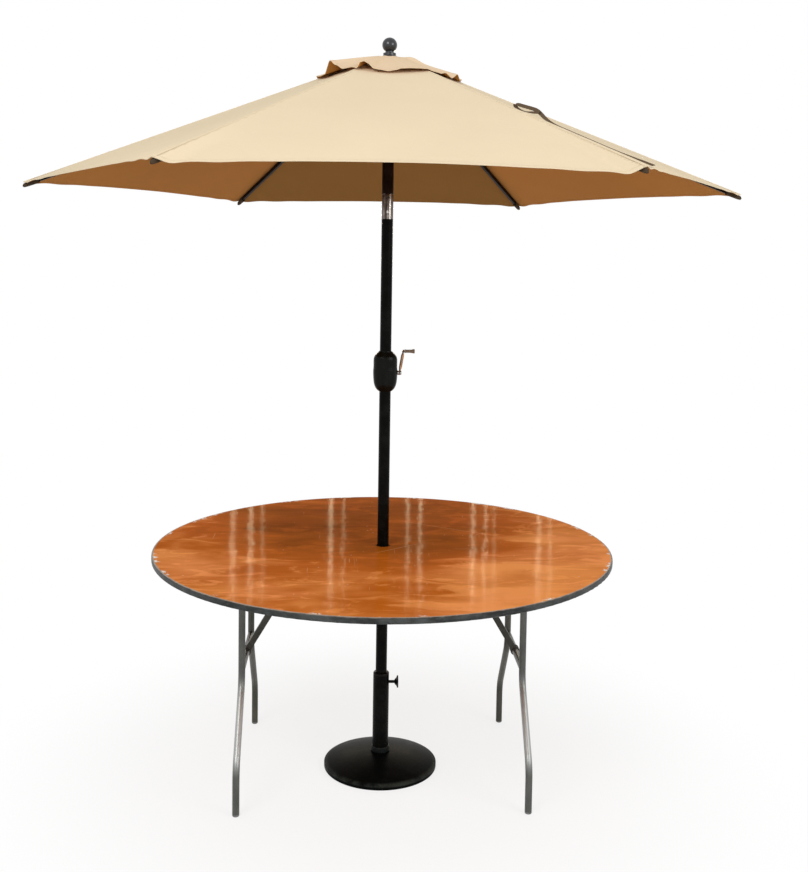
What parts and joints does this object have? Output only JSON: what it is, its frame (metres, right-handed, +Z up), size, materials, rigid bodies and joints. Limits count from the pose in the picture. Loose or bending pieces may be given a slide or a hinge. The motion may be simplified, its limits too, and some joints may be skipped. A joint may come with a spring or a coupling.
{
  "type": "umbrella table",
  "caption": "Round folding table on tube leg sets with a crank umbrella in its own round foot; canopy folds and tilts.",
  "frame": {"origin": "on the floor, below the pole's axis", "axes": "+Z up along the pole, +X to the crank's side, -Y to the front"},
  "size_m": [2.366, 2.049, 2.446],
  "materials": {
    "plywood": "varnished",
    "edge_vinyl": "satin",
    "cleat_wood": "bare",
    "zinc_steel": "zinc plated",
    "galvanised_steel": "galvanised",
    "foot_plastic": "satin",
    "base_iron": "gloss black paint",
    "black_steel": "gloss",
    "black_plastic": "satin",
    "bright_steel": "polished",
    "shaft_steel": "plain",
    "spool_plastic": "plain",
    "arm_bronze": "satin",
    "grip_plastic": "satin",
    "bronze_steel": "satin",
    "finial_plastic": "gloss",
    "canopy_cloth": "woven",
    "strap_cloth": "woven"
  },
  "bodies": {
    "table": {"table_top": "plywood", "edge_band": "edge_vinyl", "hinge_cleats": "cleat_wood", "brace_cleats": "cleat_wood", "hinge_saddles": "zinc_steel", "brace_brackets": "zinc_steel", "table_screws": "zinc_steel"},
    "leg_left": {"leg_tubes_left": "galvanised_steel", "hinge_tube_left": "galvanised_steel", "cross_rail_left": "galvanised_steel", "foot_plugs_left": "foot_plastic"},
    "leg_right": {"leg_tubes_right": "galvanised_steel", "hinge_tube_right": "galvanised_steel", "cross_rail_right": "galvanised_steel", "foot_plugs_right": "foot_plastic"},
    "brace_upper_left": {"brace_upper_left": "zinc_steel"},
    "brace_lower_left": {"brace_lower_left": "zinc_steel"},
    "brace_upper_right": {"brace_upper_right": "zinc_steel"},
    "brace_lower_right": {"brace_lower_right": "zinc_steel"},
    "base": {"base_disc": "base_iron", "base_collar": "black_steel", "base_stem": "black_steel", "stem_cap": "black_plastic"},
    "clamp": {"clamp_knob": "black_plastic"},
    "mast_lower": {"lower_pole": "black_steel", "tilt_sleeve": "bright_steel", "button_spring": "zinc_steel", "housing_front": "black_plastic", "housing_back": "black_plastic", "housing_screws": "zinc_steel"},
    "button": {"tilt_button": "bright_steel"},
    "crank": {"crank_shaft": "shaft_steel", "cord_spool": "spool_plastic", "crank_arm": "arm_bronze"},
    "grip": {"crank_grip": "grip_plastic"},
    "mast_upper": {"upper_pole": "bronze_steel", "tilt_pin": "zinc_steel", "top_hub": "black_plastic", "hub_pulley": "spool_plastic", "finial": "finial_plastic"},
    "runner": {"runner": "black_plastic"},
    "rib_1": {"rib_1": "bronze_steel", "canopy_1": "canopy_cloth"},
    "strut_1": {"strut_1": "bronze_steel"},
    "rib_2": {"rib_2": "bronze_steel", "canopy_2": "canopy_cloth"},
    "strut_2": {"strut_2": "bronze_steel"},
    "rib_3": {"rib_3": "bronze_steel", "canopy_3": "canopy_cloth"},
    "strut_3": {"strut_3": "bronze_steel"},
    "rib_4": {"rib_4": "bronze_steel", "canopy_4": "canopy_cloth"},
    "strut_4": {"strut_4": "bronze_steel"},
    "rib_5": {"rib_5": "bronze_steel", "canopy_5": "canopy_cloth"},
    "strut_5": {"strut_5": "bronze_steel"},
    "rib_6": {"rib_6": "bronze_steel", "canopy_6": "canopy_cloth", "closing_strap": "strap_cloth"},
    "strut_6": {"strut_6": "bronze_steel"}
  },
  "joints": [
    {"name": "leg_left_fold", "type": "hinge", "parent": "table", "child": "leg_left", "pos_m": [-0.455, 0, 0.706], "axis": [0, -1, 0], "range_deg": [0, 90]},
    {"name": "brace_upper_left_turn", "type": "hinge", "parent": "table", "child": "brace_upper_left", "pos_m": [-0.2714, 0, 0.706], "axis": [0, 1, 0], "range_deg": [0, 59.04]},
    {"name": "brace_lower_left_turn", "type": "hinge", "parent": "leg_left", "child": "brace_lower_left", "pos_m": [-0.455, 0, 0.4], "axis": [0, -1, 0], "range_deg": [0, 30.97]},
    {"name": "leg_right_fold", "type": "hinge", "parent": "table", "child": "leg_right", "pos_m": [0.455, 0, 0.68], "axis": [0, 1, 0], "range_deg": [0, 90]},
    {"name": "brace_upper_right_turn", "type": "hinge", "parent": "table", "child": "brace_upper_right", "pos_m": [0.287, 0, 0.68], "axis": [0, -1, 0], "range_deg": [0, 59.04]},
    {"name": "brace_lower_right_turn", "type": "hinge", "parent": "leg_right", "child": "brace_lower_right", "pos_m": [0.455, 0, 0.4], "axis": [0, 1, 0], "range_deg": [0, 30.97]},
    {"name": "base_lift", "type": "slide", "parent": "table", "child": "base", "axis": [0, 0, 1], "range_m": [0, 0.2]},
    {"name": "clamp_turn", "type": "hinge", "parent": "base", "child": "clamp", "pos_m": [0.05, 0, 0.2906], "axis": [1, 0, 0], "range_deg": [0, 720]},
    {"name": "umbrella_lift", "type": "slide", "parent": "base", "child": "mast_lower", "axis": [0, 0, 1], "range_m": [0, 0.25]},
    {"name": "tilt_button_press", "type": "slide", "parent": "mast_lower", "child": "button", "axis": [0, 1, 0], "range_m": [0, 0.003], "stiffness_N_per_m": 400, "deforming": ["button_spring"]},
    {"name": "crank_turn", "type": "hinge", "parent": "mast_lower", "child": "crank", "pos_m": [0, 0, 1.347], "axis": [1, 0, 0], "range_deg": [0, 2430]},
    {"name": "grip_spin", "type": "hinge", "parent": "crank", "child": "grip", "pos_m": [0.0733, 0, 1.419], "axis": [1, 0, 0], "continuous": true},
    {"name": "tilt", "type": "hinge", "parent": "mast_lower", "child": "mast_upper", "pos_m": [0, 0, 1.921], "axis": [1, 0, 0], "range_deg": [-30, 0]},
    {"name": "runner_slide", "type": "slide", "parent": "mast_upper", "child": "runner", "axis": [0, 0, -1], "range_m": [0, 0.4944]},
    {"name": "rib_1_fold", "type": "hinge", "parent": "mast_upper", "child": "rib_1", "pos_m": [0.035, 0, 2.37], "axis": [0, 1, 0], "range_deg": [0, 67.2], "deforming": ["canopy_1"]},
    {"name": "strut_1_turn", "type": "hinge", "parent": "rib_1", "child": "strut_1", "pos_m": [0.40487, 0, 2.21686], "axis": [0, 1, 0], "range_deg": [-134.4, 0]},
    {"name": "rib_2_fold", "type": "hinge", "parent": "mast_upper", "child": "rib_2", "pos_m": [0.0175, 0.03031, 2.37], "axis": [-0.866, 0.5, 0], "range_deg": [0, 67.2], "deforming": ["canopy_2"]},
    {"name": "strut_2_turn", "type": "hinge", "parent": "rib_2", "child": "strut_2", "pos_m": [0.20244, 0.35063, 2.21686], "axis": [-0.866, 0.5, 0], "range_deg": [-134.4, 0]},
    {"name": "rib_3_fold", "type": "hinge", "parent": "mast_upper", "child": "rib_3", "pos_m": [-0.0175, 0.03031, 2.37], "axis": [-0.866, -0.5, 0], "range_deg": [0, 67.2], "deforming": ["canopy_3"]},
    {"name": "strut_3_turn", "type": "hinge", "parent": "rib_3", "child": "strut_3", "pos_m": [-0.20244, 0.35063, 2.21686], "axis": [-0.866, -0.5, 0], "range_deg": [-134.4, 0]},
    {"name": "rib_4_fold", "type": "hinge", "parent": "mast_upper", "child": "rib_4", "pos_m": [-0.035, 0, 2.37], "axis": [0, -1, 0], "range_deg": [0, 67.2], "deforming": ["canopy_4"]},
    {"name": "strut_4_turn", "type": "hinge", "parent": "rib_4", "child": "strut_4", "pos_m": [-0.40487, 0, 2.21686], "axis": [0, -1, 0], "range_deg": [-134.4, 0]},
    {"name": "rib_5_fold", "type": "hinge", "parent": "mast_upper", "child": "rib_5", "pos_m": [-0.0175, -0.03031, 2.37], "axis": [0.866, -0.5, 0], "range_deg": [0, 67.2], "deforming": ["canopy_5"]},
    {"name": "strut_5_turn", "type": "hinge", "parent": "rib_5", "child": "strut_5", "pos_m": [-0.20244, -0.35063, 2.21686], "axis": [0.866, -0.5, 0], "range_deg": [-134.4, 0]},
    {"name": "rib_6_fold", "type": "hinge", "parent": "mast_upper", "child": "rib_6", "pos_m": [0.0175, -0.03031, 2.37], "axis": [0.866, 0.5, 0], "range_deg": [0, 67.2], "deforming": ["canopy_6", "closing_strap"]},
    {"name": "strut_6_turn", "type": "hinge", "parent": "rib_6", "child": "strut_6", "pos_m": [0.20244, -0.35063, 2.21686], "axis": [0.866, 0.5, 0], "range_deg": [-134.4, 0]}
  ],
  "couplings": [
    {"joint": "brace_upper_left_turn", "follows": "leg_left_fold", "ratio": 0.65596},
    {"joint": "brace_lower_left_turn", "follows": "leg_left_fold", "ratio": 0.34404},
    {"joint": "brace_upper_right_turn", "follows": "leg_right_fold", "ratio": 0.65596},
    {"joint": "brace_lower_right_turn", "follows": "leg_right_fold", "ratio": 0.34404},
    {"joint": "strut_1_turn", "follows": "rib_1_fold", "ratio": -2},
    {"joint": "rib_2_fold", "follows": "rib_1_fold", "ratio": 1},
    {"joint": "strut_2_turn", "follows": "rib_1_fold", "ratio": -2},
    {"joint": "rib_3_fold", "follows": "rib_1_fold", "ratio": 1},
    {"joint": "strut_3_turn", "follows": "rib_1_fold", "ratio": -2},
    {"joint": "rib_4_fold", "follows": "rib_1_fold", "ratio": 1},
    {"joint": "strut_4_turn", "follows": "rib_1_fold", "ratio": -2},
    {"joint": "rib_5_fold", "follows": "rib_1_fold", "ratio": 1},
    {"joint": "strut_5_turn", "follows": "rib_1_fold", "ratio": -2},
    {"joint": "rib_6_fold", "follows": "rib_1_fold", "ratio": 1},
    {"joint": "strut_6_turn", "follows": "rib_1_fold", "ratio": -2},
    {"joint": "runner_slide", "follows": "rib_1_fold", "m_per_rad": 0.4215},
    {"joint": "crank_turn", "follows": "rib_1_fold", "ratio": 36.16}
  ]
}
